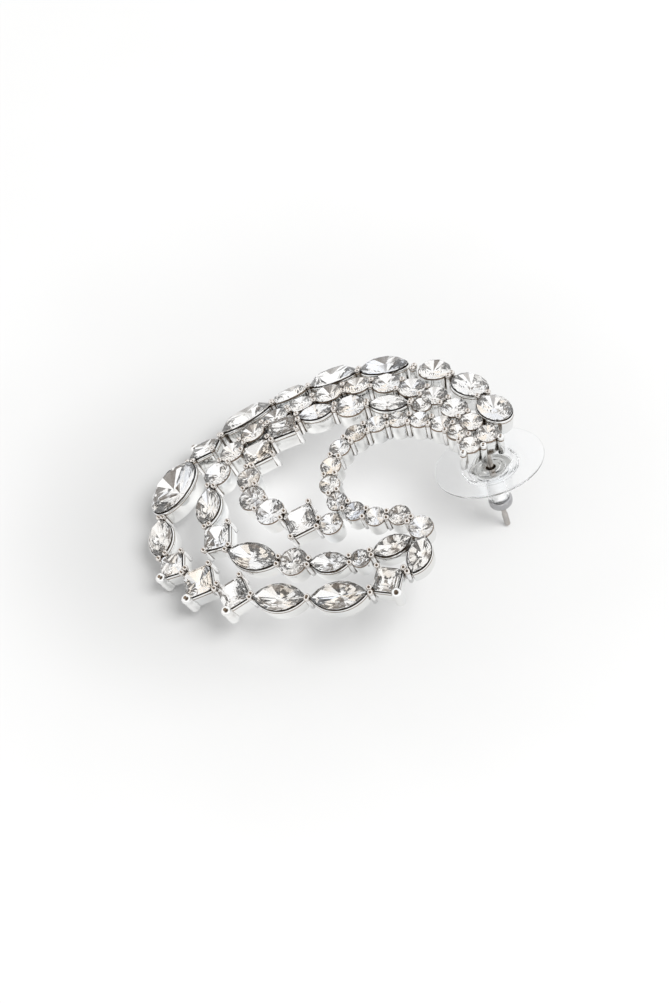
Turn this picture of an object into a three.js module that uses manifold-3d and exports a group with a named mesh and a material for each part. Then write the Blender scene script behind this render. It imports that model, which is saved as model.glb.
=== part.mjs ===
// A half-hoop earring: four strands of crystals in metal cups, spread like a fan between two clusters,
// with an ear post and a clear disc clutch. It lies face up on a flat surface. Millimetres, +Z up.
//
// The strands are drawn in plan, looking straight at the face, and lifted onto one shallow dome.
// The dome is then turned until the post's tip and two of the largest cups carry the earring.
import * as THREE from "three";
import { mergeVertices } from "three/addons/utils/BufferGeometryUtils.js";
import Module from "manifold-3d";

// The dome: a shallow bowl shape all over, and two stretches that bend away from the face.
const DOME_ROUNDNESS = 0.005;
const DOME_CENTRE = { x: 2, y: -1 };
const DOME_BENDS = [
  { towards: 93, from: 10.5, rate: 0.04 },
  { towards: 40, from: 4, rate: 0.007 },
];

// How the earring lies: turns about X, Y and Z, in degrees, worked out from its centre of mass.
const LYING_TURN = { x: 4.12, y: -12.58, z: 21.6 };

// Cups
const CUP_WALL = 0.12;
const CUP_DEPTH = 2;
const FOOT_SCALE = 0.93;
const POCKET_DEPTH = 1.25;
const POCKET_SCALE = 0.45;
const SEAT_GAP = 0.06;

// Stones
const LOOSE_OVER = 4;
const GIRDLE = 0.16;
const TABLE_SCALE = 0.58;
const CROWN_SHARE = 0.17;
const PAVILION_DEPTH = 1;
const PAVILION_SHARE = 0.7;
const SMALL_UNDER = 3;
const SMALL_SIDES = 8;
const ROUND_SIDES = 10;
const LONG_SIDES = 10;
const CORNER_CUT = 0.14;

// Prongs and the solder between cups
const PRONG_RADIUS = 0.33;
const PRONG_SINK = 0.14;
const PRONG_FOOT = 0.25;
const PRONG_RISE = 0.5;
const PRONG_TAPER = 0.75;
const PRONG_SIDES = 4;
const PRONG_TURN = 45;
const NOTCH_REACH = 2;
const NOTCH_STEP = 0.04;
const LEVELLING_PASSES = 4;
const SOLDER = { halfWide: 0.42, halfHigh: 0.32, depth: 1.6, sides: 4 };

// Wires at the corners of square cups that point away from the strand's line
const CORNER_WIRE = { inset: 0.15, sides: 6, below: 0.1, slim: 0.32, stout: 0.46, tip: 0.5 };

// Wires in plan that stand round the free side of the cluster
const CLUSTER_WIRES = { radius: 0.4, places: [[14.08, -3.05], [16.35, -3.05], [18.4, -2.7]] };

// Ear post, from under the cluster's cup
const POST = { x: 16.96, y: -2.0, radius: 0.325, length: 10, sides: 10, root: 0.5 };
const POST_DIRECTION = { x: -0.116, y: -0.286, z: -0.951 };

// Clutch: places along the post are counted from just before its front face
const CLUTCH_AT = 1.13;
const CLUTCH_SIDES = 20;
const INSERT_SIDES = 12;
const CLUTCH_GAP = 0.1;
const DISC = { radius: 6, front: 0.15, back: 0.6, edge: 0.15 };
const HUB = { radius: 3, back: 1.4, floor: 1.35, slope: 0.3 };
const BARREL = { front: 2.2, back: 1.2, end: 5 };
const INSERT = { bore: 0.43, plate: 2.2, front: 1, thick: 0.25, tube: 0.75, cup: 1.3 };
const INSERT_CUP = { length: 1.3, round: 0.5 };

// Each strand: its line in plan, and its stones in order.
const COLUMNS = ["cut", "long", "wide", "turn", "at"];
const STRANDS = [
  {
    line: [
      [15.2, -2.2], [14, 1.6], [10, 4.9], [5, 5.6], [1.2, 3], [0, -1.4], [2.4, -5.3], [5.2, -6.9],
      [6.6, -9.4],
    ],
    stones: [
      ["round", 2.1, 2.1, 0, 0],
      ["round", 2.1, 2.1, 0, 2.35],
      ["round", 2.1, 2.1, 0, 4.7],
      ["round", 2.1, 2.1, 0, 7.1],
      ["round", 2.1, 2.1, 0, 9.5],
      ["round", 2.1, 2.1, 0, 11.9],
      ["round", 2.1, 2.1, 0, 14.3],
      ["round", 2.1, 2.1, 0, 16.75],
      ["round", 2.1, 2.1, 0, 19.2],
      ["round", 2.1, 2.1, 0, 21.6],
      ["round", 2.1, 2.1, 0, 24.1],
      ["round", 2.1, 2.1, 0, 26.6],
      ["round", 2.1, 2.1, 0, 29.05],
      ["round", 2.2, 2.2, 0, 31.65],
      ["round", 2.5, 2.5, 0, 34.5],
    ],
  },
  {
    line: [
      [12.8, 5.8], [9.6, 8], [2.6, 11.1], [-2, 11.3], [-6.4, 8.6], [-7.8, 4], [-5.4, -0.4],
      [-1.6, -3.9],
    ],
    stones: [
      ["round", 2, 2, 0, 0],
      ["marquise", 4.5, 2.4, 0, 3.7],
      ["round", 3.1, 3.1, 0, 7.9],
      ["marquise", 4.1, 2.3, 0, 11.8],
      ["square", 3.1, 2.7, -23, 15.75],
      ["square", 3.2, 2.7, -41, 19.8],
      ["round", 2.4, 2.4, 0, 23.25],
      ["round", 2.8, 2.8, 0, 26.1],
      ["round", 3, 3, 0, 29.2],
      ["square", 3.2, 3.2, 40, 33.15],
      ["round", 2.4, 2.4, 0, 36.7],
    ],
  },
  {
    line: [
      [16.5, 0.9], [14.6, 6.4], [10.4, 11.3], [4.5, 13.4], [-3, 13.5], [-9.4, 10.7],
      [-13, 5.2], [-12, -0.4], [-7, -5.7], [-1, -9.3], [3.1, -9.8],
    ],
    stones: [
      ["round", 2.4, 2.4, 0, 0],
      ["round", 2.8, 2.8, 0, 2.9],
      ["round", 2.7, 2.7, 0, 6],
      ["round", 2.9, 2.9, 0, 9],
      ["round", 3, 3, 0, 12.1],
      ["round", 2.8, 2.8, 0, 15.4],
      ["round", 3.1, 3.1, 0, 18.6],
      ["round", 2.6, 2.6, 0, 21.8],
      ["round", 2.7, 2.7, 0, 24.9],
      ["round", 2.7, 2.7, 0, 28],
      ["round", 2.7, 2.7, 0, 31.1],
      ["round", 2.9, 2.9, 0, 34.2],
      ["marquise", 4.9, 3, 0, 38.4],
      ["square", 2.9, 2.9, 57, 42.9],
      ["marquise", 6.4, 3.2, 0, 48.4],
      ["round", 3, 3, 0, 53.3],
      ["marquise", 4.4, 2.4, 0, 57.3],
      ["round", 1.9, 1.9, 0, 60.7],
      ["marquise", 4.4, 2.4, 0, 64.2],
    ],
  },
  {
    line: [
      [19.5, 1.9], [18.5, 6.6], [15.4, 11.4], [9, 16.1], [0.8, 17.9], [-7, 17.2],
      [-15, 12.2], [-19, 4.6], [-15.4, -3.6], [-8.8, -9.4], [-1.2, -13.2], [5.1, -12.2],
    ],
    stones: [
      ["oval", 4.6, 3.6, 0, 0],
      ["oval", 4.6, 3.6, 0, 4.9],
      ["round", 3.4, 3.4, 0, 9.8],
      ["oval", 5.6, 4, 0, 15.9],
      ["oval", 5.4, 4.8, 0, 21.9],
      ["round", 3.9, 3.9, 0, 27.1],
      ["oval", 6.2, 4.6, 0, 32.6],
      ["square", 3.4, 3, -54, 38.7],
      ["oval", 7.4, 5, 0, 44.7],
      ["marquise", 5, 3, 0, 51.35],
      ["square", 2.6, 2.6, 52, 55.6],
      ["square", 3.2, 3.2, 44, 60],
      ["square", 3, 3, 45, 64.8],
      ["marquise", 6, 3.2, 0, 70.1],
      ["marquise", 6.2, 3.3, 0, 76.7],
      ["square", 2.8, 2.8, -45, 82.1],
      ["marquise", 4.4, 2.6, 40, 86.5],
    ],
  },
];
const CLUSTER_STONE = { x: 17.4, y: -1.5, size: 2.3 };

const wasm = await Module();
wasm.setup();
const { degToRad } = THREE.MathUtils;

/** Height of the dome over a place in plan. */
function domeHeight(x, y) {
  const fromCentre = (x - DOME_CENTRE.x) ** 2 + (y - DOME_CENTRE.y) ** 2;
  let height = -DOME_ROUNDNESS * fromCentre;
  for (const bend of DOME_BENDS) {
    height -= bend.rate * pastBend(bend, x, y) ** 2;
  }
  return height;
}

/** How far a place in plan lies past the line where a bend starts. */
function pastBend(bend, x, y) {
  const angle = degToRad(bend.towards);
  return Math.max(0, x * Math.cos(angle) + y * Math.sin(angle) - bend.from);
}

/** The dome's outward normal over a place in plan. */
function domeNormal(x, y) {
  const normal = new THREE.Vector3(
    2 * DOME_ROUNDNESS * (x - DOME_CENTRE.x),
    2 * DOME_ROUNDNESS * (y - DOME_CENTRE.y),
    1,
  );
  for (const bend of DOME_BENDS) {
    const angle = degToRad(bend.towards);
    const slope = 2 * bend.rate * pastBend(bend, x, y);
    normal.x += slope * Math.cos(angle);
    normal.y += slope * Math.sin(angle);
  }
  return normal.normalize();
}

/** A strand's line as a curve on the dome, measured by its length. */
class StrandCurve extends THREE.Curve {
  constructor(line) {
    super();
    this.plan = new THREE.SplineCurve(line.map(([x, y]) => new THREE.Vector2(x, y)));
    this.arcLengthDivisions = 60 * (line.length - 1);
  }

  getPoint(t) {
    const { x, y } = this.plan.getPoint(t);
    return new THREE.Vector3(x, y, domeHeight(x, y));
  }
}

/** A stone's seat: its centre on the dome, X along the stone's length and Z out of the face. */
function seat(centre, direction, turn) {
  const up = domeNormal(centre.x, centre.y);
  const along = direction.clone().projectOnPlane(up).normalize();
  along.applyAxisAngle(up, degToRad(turn));
  const side = new THREE.Vector3().crossVectors(up, along);
  return new THREE.Matrix4().makeBasis(along, side, up).setPosition(centre);
}

/** All stones of a strand, each with its seat on the dome. */
function seatStones({ line, stones }, strandNumber) {
  const curve = new StrandCurve(line);
  const total = curve.getLength();
  return stones.map((row, index) => {
    const stone = Object.fromEntries(COLUMNS.map((name, column) => [name, row[column]]));
    const share = Math.min(1, stone.at / total);
    const centre = curve.getPointAt(share);
    const tangent = curve.getTangentAt(share);
    const inwards = domeNormal(centre.x, centre.y).cross(tangent).normalize();
    const place = seat(centre, tangent, stone.turn);
    return { ...stone, place, inwards, label: `${strandNumber}_${index + 1}` };
  });
}

/** Points round an ellipse. */
function ellipse(halfLong, halfWide, sides) {
  return Array.from({ length: sides }, (_, i) => {
    const angle = (2 * Math.PI * i) / sides;
    return new THREE.Vector2(halfLong * Math.cos(angle), halfWide * Math.sin(angle));
  });
}

/** Points round a boat shape: two circular arcs that meet in points. */
function marquise(halfLong, halfWide, sides) {
  const radius = (halfLong ** 2 + halfWide ** 2) / (2 * halfWide);
  return ellipse(halfLong, 1, sides).map(({ x, y }) => {
    const height = Math.sqrt(Math.max(0, radius ** 2 - x ** 2)) - (radius - halfWide);
    return new THREE.Vector2(x, Math.abs(y) < 1e-9 ? 0 : Math.sign(y) * height);
  });
}

/** Points round a rectangle with cut corners. */
function cutSquare(halfLong, halfWide) {
  const cut = CORNER_CUT * 2 * halfWide;
  const corners = [[1, 1], [-1, 1], [-1, -1], [1, -1]];
  return corners.flatMap(([sx, sy]) => {
    const onSide = new THREE.Vector2(sx * halfLong, sy * (halfWide - cut));
    const onEnd = new THREE.Vector2(sx * (halfLong - cut), sy * halfWide);
    return sx * sy > 0 ? [onSide, onEnd] : [onEnd, onSide];
  });
}

/** A stone's outline, grown outwards by a margin. */
function outline({ cut, long, wide }, margin = 0) {
  const halfLong = long / 2 + margin;
  const halfWide = wide / 2 + margin;
  if (cut === "round") {
    return ellipse(halfLong, halfWide, long < SMALL_UNDER ? SMALL_SIDES : ROUND_SIDES);
  }
  if (cut === "oval") {
    return ellipse(halfLong, halfWide, LONG_SIDES);
  }
  return cut === "marquise" ? marquise(halfLong, halfWide, LONG_SIDES) : cutSquare(halfLong, halfWide);
}

/** One level of a loft: an outline scaled about its centre and raised. */
function level(points, scale, z) {
  return points.map(({ x, y }) => new THREE.Vector3(x * scale, y * scale, z));
}

/** A closed solid through levels of the same number of points, from its foot up, with flat ends. */
function loft(levels, place) {
  const sides = levels[0].length;
  const index = [];
  for (let i = 1; i < sides - 1; i++) {
    index.push(0, i + 1, i);
  }
  for (let row = 0; row < levels.length - 1; row++) {
    for (let i = 0; i < sides; i++) {
      const next = (i + 1) % sides;
      const low = row * sides;
      const high = low + sides;
      index.push(low + i, low + next, high + next);
      index.push(low + i, high + next, high + i);
    }
  }
  const top = (levels.length - 1) * sides;
  for (let i = 1; i < sides - 1; i++) {
    index.push(top, top + i, top + i + 1);
  }
  const geometry = new THREE.BufferGeometry().setFromPoints(levels.flat());
  geometry.setIndex(index);
  return geometry.applyMatrix4(place);
}

/** Whether a stone is large enough to be a piece of its own. */
function isLoose({ long }) {
  return long > LOOSE_OVER;
}

/** A cup with a pocket for its stone. */
function openCup(stone) {
  const outer = outline(stone, CUP_WALL);
  const inner = outline(stone, -CUP_WALL);
  return loft(
    [
      level(outer, FOOT_SCALE, -CUP_DEPTH),
      level(outer, 1, -SEAT_GAP),
      level(inner, 1, -SEAT_GAP),
      level(inner, POCKET_SCALE, -POCKET_DEPTH),
    ],
    stone.place,
  );
}

/** A small cup joined to its stone's crown. */
function filledCup(stone) {
  const outer = outline(stone, CUP_WALL);
  return loft(
    [
      level(outer, FOOT_SCALE, -CUP_DEPTH),
      level(outer, 1, 0),
      level(outer, TABLE_SCALE, GIRDLE + CROWN_SHARE * stone.wide),
    ],
    stone.place,
  );
}

/** A large stone: pavilion in the pocket, girdle over the rim, crown and table. */
function looseStone(stone) {
  const girdle = outline(stone);
  const inPocket = 1 - (2 * (CUP_WALL + SEAT_GAP)) / stone.wide;
  return loft(
    [
      level(girdle, POCKET_SCALE * inPocket * PAVILION_SHARE, -PAVILION_DEPTH),
      level(girdle, inPocket, 0),
      level(girdle, 1, 0),
      level(girdle, TABLE_SCALE, GIRDLE + CROWN_SHARE * stone.wide),
    ],
    stone.place,
  );
}

/** The centre of a stone's girdle. */
function centreOf(stone) {
  return new THREE.Vector3().setFromMatrixPosition(stone.place);
}

/** Distance from a point to the side of a stone's cup, seen along its axis, and negative inside. */
function clearance(point, stone) {
  const local = point.clone().applyMatrix4(stone.place.clone().invert());
  const points = outline(stone, CUP_WALL);
  const flat = new THREE.Vector2(local.x, local.y);
  let nearest = Infinity;
  let inside = true;
  points.forEach((start, i) => {
    const edge = points[(i + 1) % points.length].clone().sub(start);
    const toPoint = flat.clone().sub(start);
    const share = THREE.MathUtils.clamp(toPoint.dot(edge) / edge.lengthSq(), 0, 1);
    nearest = Math.min(nearest, toPoint.distanceTo(edge.clone().multiplyScalar(share)));
    inside &&= edge.cross(toPoint) > 0;
  });
  return inside ? -nearest : nearest;
}

/** A point beside the line between two stones, equally far from both cups, and how far that is. */
function between(stone, next, side, offset) {
  const start = centreOf(stone);
  const across = centreOf(next).sub(start);
  const point = start.addScaledVector(across, 0.5).addScaledVector(side, offset);
  across.normalize();
  for (let pass = 0; pass < LEVELLING_PASSES; pass++) {
    const lean = clearance(point, stone) - clearance(point, next);
    point.addScaledVector(across, -lean / 2);
  }
  return { point, gap: clearance(point, stone) };
}

/**
 * Where a prong stands on one side of a strand: coming in from the side, the first place where it meets
 * both cups' walls. Cups too far apart for that have it beside the narrowest place.
 */
function notch(stone, next, side) {
  let narrowest = { gap: Infinity };
  for (let offset = NOTCH_REACH; offset > -NOTCH_REACH; offset -= NOTCH_STEP) {
    const here = between(stone, next, side, offset);
    if (here.gap <= PRONG_RADIUS - PRONG_SINK) {
      return here;
    }
    if (here.gap < narrowest.gap) {
      narrowest = { gap: here.gap, offset };
    }
  }
  return between(stone, next, side, narrowest.offset + PRONG_RADIUS);
}

/** The places of the two prongs between neighbouring stones, one on each side of the strand. */
function notches([stone, next]) {
  const across = centreOf(next).sub(centreOf(stone)).normalize();
  const side = domeNormal(...centreOf(stone).toArray()).cross(across).normalize();
  return [side, side.clone().negate()].map((outwards) => {
    const { point, gap } = notch(stone, next, outwards);
    return { place: seat(point, across, PRONG_TURN), gap };
  });
}

/** A wire from near a cup's foot to over the girdle. */
function prong(place) {
  const circle = ellipse(PRONG_RADIUS, PRONG_RADIUS, PRONG_SIDES);
  const levels = [level(circle, 1, PRONG_FOOT - CUP_DEPTH), level(circle, PRONG_TAPER, PRONG_RISE)];
  return loft(levels, place);
}

/** The wires at a square cup's innermost and outermost corners. */
function cornerWires(stone, outerRadius) {
  const halfLong = stone.long / 2 + CUP_WALL - CORNER_WIRE.inset;
  const halfWide = stone.wide / 2 + CUP_WALL - CORNER_WIRE.inset;
  const corners = [[1, 1], [-1, 1], [-1, -1], [1, -1]].map(([sx, sy]) =>
    new THREE.Vector3(sx * halfLong, sy * halfWide, 0).applyMatrix4(stone.place),
  );
  corners.sort((a, b) => a.dot(stone.inwards) - b.dot(stone.inwards));
  return [
    cornerWire(stone, corners[0], outerRadius),
    cornerWire(stone, corners.at(-1), CORNER_WIRE.slim),
  ];
}

/** A stout wire beside a stone's cup, standing a little below its foot. */
function cornerWire(stone, corner, radius) {
  const circle = ellipse(radius, radius, CORNER_WIRE.sides);
  const levels = [
    level(circle, 1, -CUP_DEPTH - CORNER_WIRE.below),
    level(circle, 1, PRONG_RISE - radius / 2),
    level(circle, CORNER_WIRE.tip, PRONG_RISE),
  ];
  return loft(levels, stone.place.clone().setPosition(corner));
}

/** A bar of solder between two cups, a set depth below their stones, which may run beside their middles. */
function solder(stone, next, shift = new THREE.Vector3()) {
  const start = underStone(stone, SOLDER.depth).add(shift);
  const across = underStone(next, SOLDER.depth).add(shift).sub(start);
  const length = across.length();
  across.normalize();
  const side = domeNormal(start.x, start.y).cross(across).normalize();
  const up = new THREE.Vector3().crossVectors(across, side);
  const place = new THREE.Matrix4().makeBasis(side, up, across).setPosition(start);
  const section = ellipse(SOLDER.halfWide, SOLDER.halfHigh, SOLDER.sides);
  return loft([level(section, 1, 0), level(section, 1, length)], place);
}

/** How far two prongs' middle lies to the side of the line between their stones' centres. */
function aside([stone, next], prongs) {
  const [first, second] = prongs.map(centreOf);
  const across = centreOf(next).sub(centreOf(stone)).normalize();
  const up = domeNormal(first.x, first.y);
  const side = up.cross(across).normalize();
  const middle = first.add(second).multiplyScalar(0.5).sub(centreOf(stone));
  return side.multiplyScalar(middle.dot(side));
}

/** A point under a stone's centre, inside its cup. */
function underStone(stone, depth) {
  return new THREE.Vector3(0, 0, -depth).applyMatrix4(stone.place);
}

/** The stone of a strand nearest to another stone. */
function nearest(strand, stone) {
  const distance = (other) => centreOf(stone).distanceTo(centreOf(other));
  return strand.reduce((best, other) => (distance(other) < distance(best) ? other : best));
}

/** A closed mesh as a manifold solid. */
function solidOf(geometry) {
  const bare = geometry.clone();
  bare.deleteAttribute("normal");
  bare.deleteAttribute("uv");
  const merged = mergeVertices(bare);
  return new wasm.Manifold(
    new wasm.Mesh({
      numProp: 3,
      vertProperties: merged.attributes.position.array,
      triVerts: new Uint32Array(merged.index.array),
    }),
  );
}

/** A manifold solid as a geometry. */
function geometryOf(solid) {
  const mesh = solid.getMesh();
  return new THREE.BufferGeometry()
    .setAttribute("position", new THREE.BufferAttribute(new Float32Array(mesh.vertProperties), 3))
    .setIndex(new THREE.BufferAttribute(new Uint32Array(mesh.triVerts), 1));
}

/** Many closed pieces joined into one solid, in halves so that each join stays small. */
function joinAll(solids) {
  if (solids.length === 1) {
    return solids[0];
  }
  const half = Math.ceil(solids.length / 2);
  return joinAll(solids.slice(0, half)).add(joinAll(solids.slice(half)));
}

const strands = STRANDS.map((strand, index) => seatStones(strand, index + 1));
const [innerStrand, secondStrand, thirdStrand, outerStrand] = strands;
const clusterCentre = new THREE.Vector3(
  CLUSTER_STONE.x,
  CLUSTER_STONE.y,
  domeHeight(CLUSTER_STONE.x, CLUSTER_STONE.y),
);
const clusterStone = {
  cut: "round",
  long: CLUSTER_STONE.size,
  wide: CLUSTER_STONE.size,
  label: "cluster",
  place: seat(clusterCentre, new THREE.Vector3(1, 0, 0), 0),
};

/** Pairs of neighbouring stones along a strand. */
function neighbours(strand) {
  return strand.slice(1).map((next, index) => [strand[index], next]);
}

/** Pairs of stones where strands meet: the post's cluster, the tip, and both ends of the second strand. */
function crossLinks() {
  const tip = innerStrand.at(-1);
  const secondStart = secondStrand[0];
  const secondEnd = secondStrand.at(-1);
  return [
    [clusterStone, innerStrand[0]],
    [clusterStone, thirdStrand[0]],
    [clusterStone, outerStrand[0]],
    [thirdStrand[0], outerStrand[0]],
    [tip, thirdStrand.at(-1)],
    [tip, outerStrand.at(-1)],
    [secondStart, nearest(innerStrand, secondStart)],
    [secondStart, nearest(thirdStrand, secondStart)],
    [secondEnd, nearest(innerStrand, secondEnd)],
  ];
}

/** The ear post: a straight wire rooted in the cluster's cup. */
function earPost(base, direction) {
  const turn = new THREE.Quaternion().setFromUnitVectors(new THREE.Vector3(0, 0, 1), direction);
  const place = new THREE.Matrix4().compose(base, turn, new THREE.Vector3(1, 1, 1));
  const circle = ellipse(POST.radius, POST.radius, POST.sides);
  return loft([level(circle, 1, -POST.root), level(circle, 1, POST.length)], place);
}

/** Cups, prongs, solder and post: everything that is soldered, with the small stones set in it. */
function settingFrame(base, direction) {
  const stones = [...strands.flat(), clusterStone];
  const links = strands.flatMap(neighbours);
  const pieces = stones.map((stone) => (isLoose(stone) ? openCup(stone) : filledCup(stone)));
  for (const link of links) {
    const pair = notches(link);
    pieces.push(...pair.map(({ place }) => prong(place)));
    if (pair.some(({ gap }) => gap > PRONG_RADIUS - PRONG_SINK)) {
      pieces.push(solder(...link, aside(link, pair)));
    }
  }
  for (const [stone, next] of crossLinks()) {
    pieces.push(solder(stone, next));
  }
  for (const stone of strands.flat().filter(({ cut }) => cut === "square")) {
    const outerRadius = outerStrand.includes(stone) ? CORNER_WIRE.stout : CORNER_WIRE.slim;
    pieces.push(...cornerWires(stone, outerRadius));
  }
  for (const [x, y] of CLUSTER_WIRES.places) {
    const corner = new THREE.Vector3(x, y, domeHeight(x, y));
    pieces.push(cornerWire(clusterStone, corner, CLUSTER_WIRES.radius));
  }
  pieces.push(earPost(base, direction));
  return geometryOf(joinAll(pieces.map(solidOf)));
}

/** A ring turned about the post's line from a closed profile of radius and distance along it. */
function turned(profile, sides, start, direction) {
  const points = profile.map(([radius, along]) => new THREE.Vector2(radius, along));
  points.push(points[0].clone());
  const lathe = new THREE.LatheGeometry(points, sides);
  lathe.deleteAttribute("normal");
  lathe.deleteAttribute("uv");
  const turn = new THREE.Quaternion().setFromUnitVectors(new THREE.Vector3(0, 1, 0), direction);
  const place = new THREE.Matrix4().compose(start, turn, new THREE.Vector3(1, 1, 1));
  return mergeVertices(lathe.applyMatrix4(place));
}

/** The clear disc, with a deep recess for the insert's plate in its hub, and its tapering barrel. */
function clutchDisc(start, direction) {
  const bore = INSERT.tube + CLUTCH_GAP;
  const recess = INSERT.plate + CLUTCH_GAP;
  return turned(
    [
      [bore, HUB.floor],
      [recess, HUB.floor],
      [recess, DISC.front],
      [DISC.radius - DISC.edge, DISC.front],
      [DISC.radius, DISC.front + DISC.edge],
      [DISC.radius, DISC.back - DISC.edge],
      [DISC.radius - DISC.edge, DISC.back],
      [HUB.radius, DISC.back],
      [HUB.radius, HUB.back],
      [BARREL.front, HUB.back + HUB.slope],
      [BARREL.back, BARREL.end],
      [bore, BARREL.end],
    ],
    CLUTCH_SIDES,
    start,
    direction,
  );
}

/** The metal insert: a front plate, a tube round the post and a cup at the back. */
function clutchInsert(start, direction) {
  const plateBack = INSERT.front + INSERT.thick;
  const cupStart = BARREL.end + CLUTCH_GAP;
  const cupEnd = cupStart + INSERT_CUP.length;
  return turned(
    [
      [INSERT.bore, INSERT.front],
      [INSERT.plate, INSERT.front],
      [INSERT.plate, plateBack],
      [INSERT.tube, plateBack],
      [INSERT.tube, cupStart],
      [INSERT.cup, cupStart],
      [INSERT.cup, cupEnd - INSERT_CUP.round],
      [INSERT.tube, cupEnd],
      [INSERT.bore, cupEnd],
    ],
    INSERT_SIDES,
    start,
    direction,
  );
}

const silver = new THREE.MeshStandardMaterial({ color: 0xd8d9dc, roughness: 0.22, metalness: 1 });
const crystal = new THREE.MeshStandardMaterial({ color: 0xe9eef2, roughness: 0.05, metalness: 0.1 });
const clearPlastic = new THREE.MeshStandardMaterial({ color: 0xe4e8ea, roughness: 0.15, metalness: 0 });

const postDirection = new THREE.Vector3(POST_DIRECTION.x, POST_DIRECTION.y, POST_DIRECTION.z).normalize();
const postNormal = domeNormal(POST.x, POST.y);
const postBase = new THREE.Vector3(POST.x, POST.y, domeHeight(POST.x, POST.y));
postBase.addScaledVector(postNormal, -CUP_DEPTH);
const clutchStart = postBase.clone().addScaledVector(postDirection, CLUTCH_AT);

const lying = new THREE.Group();
lying.rotation.set(degToRad(LYING_TURN.x), degToRad(LYING_TURN.y), degToRad(LYING_TURN.z));

/** Adds a named piece to the earring. */
function addPiece(name, geometry, material) {
  const mesh = new THREE.Mesh(geometry, material.clone());
  mesh.name = name;
  lying.add(mesh);
}

addPiece("setting_frame", settingFrame(postBase, postDirection), silver);
for (const stone of strands.flat().filter(isLoose)) {
  addPiece(`${stone.cut}_stone_${stone.label}`, looseStone(stone), crystal);
}
addPiece("clutch_disc", clutchDisc(clutchStart, postDirection), clearPlastic);
addPiece("clutch_insert", clutchInsert(clutchStart, postDirection), silver);

// The lowest point stands on the ground, with the whole centred over the origin.
const group = new THREE.Group();
group.name = "half_hoop_earring";
group.add(lying);
const box = new THREE.Box3().setFromObject(lying, true);
const middle = box.getCenter(new THREE.Vector3());
lying.position.set(-middle.x, -middle.y, -box.min.z);

export default group;
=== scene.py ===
"""A half-hoop earring: four strands of crystals in polished cups, an ear post and a clear disc clutch.

Lengths are in millimetres in the earring's own plan, seen straight at its face, until placed() lays it down
and turns them to metres. Each stone has a seat: its centre on a shallow dome, a direction along its length,
one across it and one out of the face.
"""

import math

import bpy
import numpy as np
from mathutils import Matrix, Vector


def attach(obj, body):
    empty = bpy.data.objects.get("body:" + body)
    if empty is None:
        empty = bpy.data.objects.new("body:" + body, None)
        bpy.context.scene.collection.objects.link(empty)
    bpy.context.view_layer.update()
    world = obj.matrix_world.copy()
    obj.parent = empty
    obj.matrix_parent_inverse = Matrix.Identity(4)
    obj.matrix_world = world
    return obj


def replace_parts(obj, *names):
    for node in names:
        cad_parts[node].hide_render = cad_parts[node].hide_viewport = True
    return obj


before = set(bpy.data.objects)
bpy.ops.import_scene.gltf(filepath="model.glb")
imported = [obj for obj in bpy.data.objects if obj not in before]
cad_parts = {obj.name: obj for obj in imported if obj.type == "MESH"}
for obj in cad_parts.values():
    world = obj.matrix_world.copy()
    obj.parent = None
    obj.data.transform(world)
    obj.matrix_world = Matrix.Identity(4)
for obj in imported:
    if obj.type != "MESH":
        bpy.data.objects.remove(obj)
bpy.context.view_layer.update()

# How the earring lies, in degrees about X, Y and Z and in millimetres
LYING_TURN = (4.12, -12.58, 21.6)
LYING_SHIFT = (-1.2557, -2.9978, 9.1829)

# The dome that carries the strands
DOME_ROUNDNESS = 0.005
DOME_CENTRE = (2.0, -1.0)
DOME_BENDS = ((93.0, 10.5, 0.04), (40.0, 4.0, 0.007))

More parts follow.
